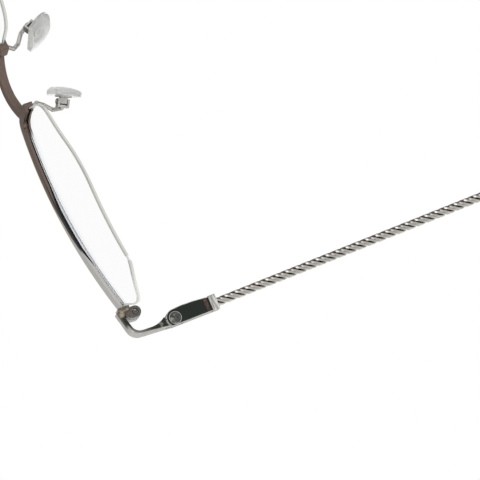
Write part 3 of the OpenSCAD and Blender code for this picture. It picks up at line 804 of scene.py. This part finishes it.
def lens_finish(colours):
    """Clear lens with a grey green ground edge, which stays clear under the rim."""
    finish = Finish("lens_clear", roughness=0.0, ior=1.03, transmission=1.0)
    _, clouds = finish.grain((1, 1, 1), 900.0, 60.0)
    clear = finish.toned(clouds, colours.lens, 0.995, 1.0)
    on_edge = finish.times(
        finish.facing((0, -1, 0), 0.75, 0.5),
        finish.facing((0, 1, 0), 0.75, 0.5),
        finish.ramp(finish.along((0, 0, -1), FRONT_PIVOT), 5.0 * MM, 6.5 * MM),
    )
    finish.colour(finish.mix(on_edge, clear, lit_edge(finish, colours, colours.lens_edge)))
    return finish.material


def nylon_finish(colours):
    """Clear nylon."""
    finish = Finish("nylon_clear", roughness=0.25, ior=1.5)
    scratches, clouds = finish.grain((1, 1, 1), 3000.0, 200.0)
    lit = lit_edge(finish, colours, colours.nylon)
    finish.colour(finish.mix(clouds, shade(colours.nylon, 0.94), lit))
    finish.rough(scratches, 0.1)
    return finish.material


def silicone_finish(colours):
    """Soft clear silicone."""
    finish = Finish("pad_silicone", roughness=0.32, ior=1.41, transmission=0.75)
    scratches, clouds = finish.grain((1, 1, 1), 1500.0, 160.0)
    finish.colour(finish.toned(clouds, colours.silicone, 0.95, 1.0))
    finish.rough(clouds, 0.2)
    finish.bump(scratches, 0.003 * MM, 0.2)
    return finish.material


def acetate_finish(colours):
    """Polished black acetate."""
    finish = Finish("tip_acetate", roughness=0.18, coat=0.5)
    scratches, clouds = finish.grain((1, 0.4, 1), 700.0, 90.0)
    finish.colour(finish.toned(clouds, colours.acetate, 1.0, 2.2))
    finish.rough(scratches, 0.12)
    finish.bump(scratches, 0.02 * MM, 0.15)
    return finish.material


# ---------------------------------------------------------------- new pieces


def link_piece(bm, name, body, material):
    """Turns a finished bmesh into a piece that rides on a body."""
    mesh = bpy.data.meshes.new(name)
    bm.to_mesh(mesh)
    bm.free()
    mesh.materials.append(material)
    for face in mesh.polygons:
        face.use_smooth = True
    piece = bpy.data.objects.new(name, mesh)
    bpy.context.scene.collection.objects.link(piece)
    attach(piece, body)
    return piece


def wire(bm, ring, radius, angle, settings, sides=10, steps_per_turn=26):
    """One wire of the rope, spun along the rope's own z axis."""
    lean = math.atan(2 * math.pi * ring / settings.lay)
    turns = settings.run / settings.lay
    steps = round(turns * steps_per_turn)
    made = bmesh.ops.create_circle(bm, cap_ends=True, segments=sides, radius=radius)
    set_up = (
        Matrix.Rotation(angle, 4, "Z")
        @ Matrix.Translation((ring, 0, settings.start))
        @ Matrix.Rotation(-lean, 4, "X")
    )
    bmesh.ops.transform(bm, matrix=set_up, verts=made["verts"])
    faces = [f for f in bm.faces if all(v in made["verts"] for v in f.verts)]
    geometry = faces + list({e for f in faces for e in f.edges}) + made["verts"]
    bmesh.ops.spin(
        bm,
        geom=geometry,
        cent=(0, 0, 0),
        axis=(0, 0, 1),
        dvec=(0, 0, settings.run / steps),
        angle=2 * math.pi * turns,
        steps=steps,
        use_merge=False,
    )


def rope_place(sign, settings):
    """The matrix from the rope's own axes to its place on one temple."""
    start = Vector((sign * (HINGE.x - settings.aside), HINGE.y, ROPE_HEIGHT))
    return (
        Matrix.Translation(start)
        @ Matrix.Rotation(sign * settings.slant, 4, "Z")
        @ Matrix.Rotation(math.radians(-90), 4, "X")
    )


# ---------------------------------------------------------------- operators


class PieceOperator:
    """What the eyeglasses operators have in common."""

    bl_options = {"REGISTER"}

    @property
    def colours(self):
        return bpy.context.scene.glasses_colours


class GLASSES_OT_lenses(PieceOperator, bpy.types.Operator):
    """Finish the lenses, their nylon cords, the clamp gaskets and the hinge washers"""

    bl_idname = "glasses.lenses"
    bl_label = "Lenses and cords"

    def execute(self, context):
        dress_pairs(lens_finish(self.colours), "lens")
        for name in both("lens"):
            # clear glass neither shades the metal nor shows as a gloss on it
            NODES[name].visible_shadow = False
            NODES[name].visible_diffuse = False
            NODES[name].visible_glossy = False
        dress_pairs(nylon_finish(self.colours), "lens_cord", "clamp_gasket", "hinge_washers")
        return {"FINISHED"}


class GLASSES_OT_rims(PieceOperator, bpy.types.Operator):
    """Finish the rims and the bridge"""

    bl_idname = "glasses.rims"
    bl_label = "Rims and bridge"

    def execute(self, context):
        dress_pairs(rim_finish(self.colours), "rim")
        dress(bridge_finish(self.colours), "bridge")
        return {"FINISHED"}


class GLASSES_OT_endpieces(PieceOperator, bpy.types.Operator):
    """Finish the endpieces, the pad arms and the pad lugs"""

    bl_idname = "glasses.endpieces"
    bl_label = "Endpieces and pad arms"

    def execute(self, context):
        # the strap gets painted shade on its down-facing faces
        strap = silver_finish(self.colours, "strap_silver", (0.5, 0.25, 1), painted_shade=True)
        dress_pairs(strap, "endpiece")
        arm = silver_finish(self.colours, "pad_arm_silver", (1, 1, 1))
        dress_pairs(arm, "pad_arm", "pad_lug")
        return {"FINISHED"}


class GLASSES_OT_clamps(PieceOperator, bpy.types.Operator):
    """Finish the clamp plates, all screws and the tips' core wires"""

    bl_idname = "glasses.clamps"
    bl_label = "Clamp plates and screws"

    def execute(self, context):
        dress_pairs(plate_finish(self.colours), "clamp_plate")
        colours = self.colours
        # painted highlights: near-white patches on the clamp screws' dark heads
        bright = screw_finish(colours, "clamp_screw_metal", 0.2, 1.9, (0.56, 0.66), 2400.0)
        dress_pairs(bright, "clamp_screw")
        dull = screw_finish(colours, "screw_metal", 0.16, 0.62, (0.42, 0.62), 900.0)
        dress_pairs(dull, "hinge_screw", "pad_screw", "tip_core")
        return {"FINISHED"}


class GLASSES_OT_temple_blocks(PieceOperator, bpy.types.Operator):
    """Finish the temple blocks, their inlays, stripes and end caps, and the ferrules"""

    bl_idname = "glasses.temple_blocks"
    bl_label = "Temple blocks"

    def execute(self, context):
        colours = self.colours
        dress_pairs(silver_finish(colours, "block_silver", (1, 0.25, 1)), "temple_block")
        cap = silver_finish(colours, "cap_silver", (0.12, 1, 0.3), contrast=0.5, scratch=3400.0)
        dress_pairs(cap, "end_cap", "ferrule")
        dress_pairs(inlay_finish(colours), "inlay")
        dress_pairs(stripe_finish(colours), "stripe")
        return {"FINISHED"}


# Painted shade: wires are bright from this share of the ring outwards and fully dark a share
# further in.
BRIGHT_FROM_RING = 1.08
DARKENS_WITHIN_RING = 0.3


class GLASSES_OT_ropes(PieceOperator, bpy.types.Operator):
    """Draw the rope strands with their separate wires"""

    bl_idname = "glasses.ropes"
    bl_label = "Rope strands"

    def execute(self, context):
        settings = context.scene.glasses_rope
        material = rope_finish(self.colours)
        for side, sign in SIDES:
            for number, letter in enumerate("abc"):
                turned = settings.phase + number * 2 * math.pi / 3
                bm = bmesh.new()
                depth = bm.verts.layers.float.new("depth")
                swing = bm.verts.layers.float.new("swing")
                lead = bm.verts.layers.float.new("lead")
                for half in (-0.5, 0.5):
                    before = set(bm.verts)
                    angle = turned + half * settings.pair_angle
                    wire(bm, settings.ring, settings.wire, angle, settings)
                    for vert in set(bm.verts) - before:
                        round_at = angle + 2 * math.pi * (vert.co.z - settings.start) / settings.lay
                        vert[swing] = -sign * math.cos(round_at)
                        vert[lead] = half + 0.5
                wire(bm, settings.core_ring, settings.core_wire, turned, settings, sides=8)
                # the depth value marks the painted shade towards the rope's middle
                bright_from = BRIGHT_FROM_RING * settings.ring
                dark_within = DARKENS_WITHIN_RING * settings.ring
                for vert in bm.verts:
                    away = math.hypot(vert.co.x, vert.co.y)
                    vert[depth] = min(1, max(0, (bright_from - away) / dark_within))
                bmesh.ops.recalc_face_normals(bm, faces=bm.faces)
                bmesh.ops.transform(bm, matrix=rope_place(sign, settings), verts=bm.verts)
                piece = link_piece(bm, f"{side}_rope_strand_{letter}", f"{side}_temple", material)
                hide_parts(f"{side}_strand_{letter}")
        return {"FINISHED"}


class GLASSES_OT_tips(PieceOperator, bpy.types.Operator):
    """Finish the ear tips"""

    bl_idname = "glasses.tips"
    bl_label = "Ear tips"

    def execute(self, context):
        dress_pairs(acetate_finish(self.colours), "tip")
        return {"FINISHED"}


class GLASSES_OT_nose_pads(PieceOperator, bpy.types.Operator):
    """Finish the nose pads"""

    bl_idname = "glasses.nose_pads"
    bl_label = "Nose pads"

    def execute(self, context):
        dress_pairs(silicone_finish(self.colours), "nose_pad")
        return {"FINISHED"}


# Each lamp's place, the point it looks at, its size in metres and its power in watts.
LAMPS = {
    "lamp_above": ((-0.25, -0.1, 0.75), (-0.05, -0.05, 0.02), 0.6, 1.0),
    "lamp_side": ((-0.75, 0.2, 0.15), (-0.07, -0.03, 0.03), 0.5, 0.4),
    "lamp_below": ((-0.25, -0.25, -0.6), (-0.07, -0.05, 0.03), 0.4, 0.3),
}
# The floor's half width and how far it lies below the glasses, in metres.
FLOOR_HALF = 1.5
FLOOR_DROP = 0.0003


def add_lamp(name, place, aim, size, power):
    """A square area lamp that looks at a point."""
    data = bpy.data.lights.new(name, "AREA")
    data.shape = "SQUARE"
    data.size = size
    data.energy = power
    lamp = bpy.data.objects.new(name, data)
    lamp.location = place
    lamp.rotation_euler = (Vector(aim) - Vector(place)).to_track_quat("-Z", "Y").to_euler()
    bpy.context.scene.collection.objects.link(lamp)


class GLASSES_OT_stage(PieceOperator, bpy.types.Operator):
    """Set up the floor, the light and the camera"""

    bl_idname = "glasses.stage"
    bl_label = "Stage"

    def execute(self, context):
        self.make_floor()
        self.make_world(context.scene)
        for name, values in LAMPS.items():
            add_lamp(name, *values)
        self.make_camera(context.scene)
        context.scene.view_settings.view_transform = "Standard"
        return {"FINISHED"}

    def make_floor(self):
        """A pale floor that is solid from above and clear from below."""
        bm = bmesh.new()
        bmesh.ops.create_grid(bm, x_segments=1, y_segments=1, size=FLOOR_HALF)
        bmesh.ops.translate(bm, verts=bm.verts, vec=(0, 0, -FLOOR_DROP))
        mesh = bpy.data.meshes.new("floor")
        bm.to_mesh(mesh)
        bm.free()
        material = bpy.data.materials.new("floor_paper")
        material.use_nodes = True
        tree = material.node_tree
        shader = tree.nodes["Principled BSDF"]
        shader.inputs["Base Color"].default_value = (*self.colours.floor, 1.0)
        shader.inputs["Roughness"].default_value = 0.9
        clear = tree.nodes.new("ShaderNodeBsdfTransparent")
        geometry = tree.nodes.new("ShaderNodeNewGeometry")
        path = tree.nodes.new("ShaderNodeLightPath")
        rays = ("Is Shadow Ray", "Is Glossy Ray", "Is Transmission Ray")
        masks = [geometry.outputs["Backfacing"]] + [path.outputs[ray] for ray in rays]
        mix_shaders(tree, masks, shader, clear, "Material Output")
        mesh.materials.append(material)
        floor = bpy.data.objects.new("floor", mesh)
        bpy.context.scene.collection.objects.link(floor)

    def make_world(self, scene):
        """White where the camera, gloss and glass see it, softer as a light."""
        world = bpy.data.worlds.new("studio")
        scene.world = world
        world.use_nodes = True
        tree = world.node_tree
        background = tree.nodes["Background"]
        background.inputs["Color"].default_value = (0.9, 0.93, 1.0, 1.0)
        background.inputs["Strength"].default_value = 0.75
        seen = tree.nodes.new("ShaderNodeBackground")
        seen.inputs["Color"].default_value = (1, 1, 1, 1)
        seen.inputs["Strength"].default_value = 1.0
        path = tree.nodes.new("ShaderNodeLightPath")
        rays = ("Is Camera Ray", "Is Glossy Ray", "Is Transmission Ray")
        mix_shaders(tree, [path.outputs[ray] for ray in rays], background, seen, "World Output")

    def make_camera(self, scene):
        """The camera at the photograph's place and angle."""
        settings = scene.glasses_camera
        data = bpy.data.cameras.new("photo_camera")
        data.lens = settings.lens
        data.sensor_width = settings.sensor
        data.sensor_fit = "AUTO"
        data.clip_start = 0.01
        data.clip_end = 10
        camera = bpy.data.objects.new("photo_camera", data)
        across = Vector(settings.across).normalized()
        upwards = Vector(settings.upwards).normalized()
        back = across.cross(upwards)
        upwards = back.cross(across)
        turn = Matrix((across, upwards, back)).transposed()
        origin = Vector((-HINGE.x, HINGE.y, STRAP_LOW))
        camera.matrix_world = Matrix.Translation(origin + Vector(settings.place)) @ turn.to_4x4()
        scene.collection.objects.link(camera)
        scene.camera = camera


class GLASSES_PT_panel(bpy.types.Panel):
    """Lists the eyeglasses operators"""

    bl_label = "Eyeglasses"
    bl_idname = "GLASSES_PT_panel"
    bl_space_type = "VIEW_3D"
    bl_region_type = "UI"
    bl_category = "Eyeglasses"

    def draw(self, context):
        for operator in OPERATORS:
            self.layout.operator(operator.bl_idname)


OPERATORS = (
    GLASSES_OT_lenses,
    GLASSES_OT_rims,
    GLASSES_OT_endpieces,
    GLASSES_OT_clamps,
    GLASSES_OT_temple_blocks,
    GLASSES_OT_ropes,
    GLASSES_OT_tips,
    GLASSES_OT_nose_pads,
    GLASSES_OT_stage,
)
SETTINGS = (
    ("glasses_camera", GlassesCameraSettings),
    ("glasses_rope", GlassesRopeSettings),
    ("glasses_colours", GlassesColours),
)


def register():
    """Adds the classes and the scene's settings."""
    for _, settings in SETTINGS:
        bpy.utils.register_class(settings)
    for operator in OPERATORS:
        bpy.utils.register_class(operator)
    bpy.utils.register_class(GLASSES_PT_panel)
    for name, settings in SETTINGS:
        setattr(bpy.types.Scene, name, PointerProperty(type=settings))


def unregister():
    """Takes them away again."""
    for name, _ in SETTINGS:
        delattr(bpy.types.Scene, name)
    bpy.utils.unregister_class(GLASSES_PT_panel)
    for operator in reversed(OPERATORS):
        bpy.utils.unregister_class(operator)
    for _, settings in reversed(SETTINGS):
        bpy.utils.unregister_class(settings)


# ---------------------------------------------------------------- image points


class PhotoView:
    """The photograph's frame as the camera sees the finished pieces."""

    def __init__(self, camera):
        self.camera = camera
        self.size = max(PHOTO)
        self.focus = self.size * camera.data.lens / camera.data.sensor_width
        self.eye = camera.matrix_world.translation.copy()
        self.inwards = camera.matrix_world.inverted()

    def seen(self, place):
        """Where a place shows in the photograph's frame."""
        local = self.inwards @ place
        x = PHOTO[0] / 2 - self.camera.data.shift_x * self.size - self.focus * local.x / local.z
        y = PHOTO[1] / 2 + self.camera.data.shift_y * self.size + self.focus * local.y / local.z
        return Vector((x, y))


# How near a surface a vertex may lie and still count as seen.
SKIN = 0.03 * MM


def surface_tree(pieces):
    """A BVHTree of finished pieces."""
    corners, faces = [], []
    for piece in pieces:
        shift = len(corners)
        corners += [piece.matrix_world @ v.co for v in piece.data.vertices]
        faces += [[shift + i for i in face.vertices] for face in piece.data.polygons]
    return BVHTree.FromPolygons(corners, faces)


def showing(view, piece, tree):
    """The image places of a piece's vertices that the camera sees."""
    shown = []
    for vertex in piece.data.vertices:
        place = piece.matrix_world @ vertex.co
        spot = view.seen(place)
        if not (0 <= spot.x <= PHOTO[0] and 0 <= spot.y <= PHOTO[1]):
            continue
        away = place - view.eye
        hit = tree.ray_cast(view.eye, away.normalized(), away.length - SKIN)[0]
        if hit is None:
            shown.append(spot)
    return shown


def crossings(view, piece, axis, level):
    """Where a piece's edges cross one column or row of the photograph."""
    spots = [view.seen(piece.matrix_world @ v.co) for v in piece.data.vertices]
    found = []
    for edge in piece.data.edges:
        one, two = (spots[i] for i in edge.vertices)
        if (one[axis] - level) * (two[axis] - level) < 0:
            share = (level - one[axis]) / (two[axis] - one[axis])
            found.append(one.lerp(two, share)[1 - axis])
    return found


def measure_points():
    """Works out where the pieces show in the photograph's frame near the image points; nothing is
    kept or written.
    """
    scene = bpy.context.scene
    view = PhotoView(scene.camera)
    lenses = both("lens")
    metal = [NODES[name] for name in NODES if name not in lenses and "_strand_" not in name]
    ropes = [o for o in scene.objects if o.name.startswith("right_rope_strand")]
    tree = surface_tree(metal + ropes)
    strap = showing(view, NODES["right_endpiece"], tree)
    cap = showing(view, NODES["right_end_cap"], tree)
    for name in ("hinge_screw", "clamp_screw"):
        spots = showing(view, NODES[f"right_{name}"], tree)
    for name in (name for name in IMAGE_POINTS if name.startswith("rope_at_")):
        column = IMAGE_POINTS[name][0]
        levels = [y for rope in ropes for y in crossings(view, rope, 0, column)]
    lens = showing(view, NODES["right_lens"], tree)
    row = IMAGE_POINTS["lens_corner"][1]
    row = IMAGE_POINTS["rim_at_200"][1]
    min(crossings(view, NODES["right_rim"], 1, row))


def main():
    """Builds the looks."""
    register()
    for operator in OPERATORS:
        group, name = operator.bl_idname.split(".")
        getattr(getattr(bpy.ops, group), name)()
    bpy.context.view_layer.update()
    measure_points()


if __name__ == "__main__":
    main()
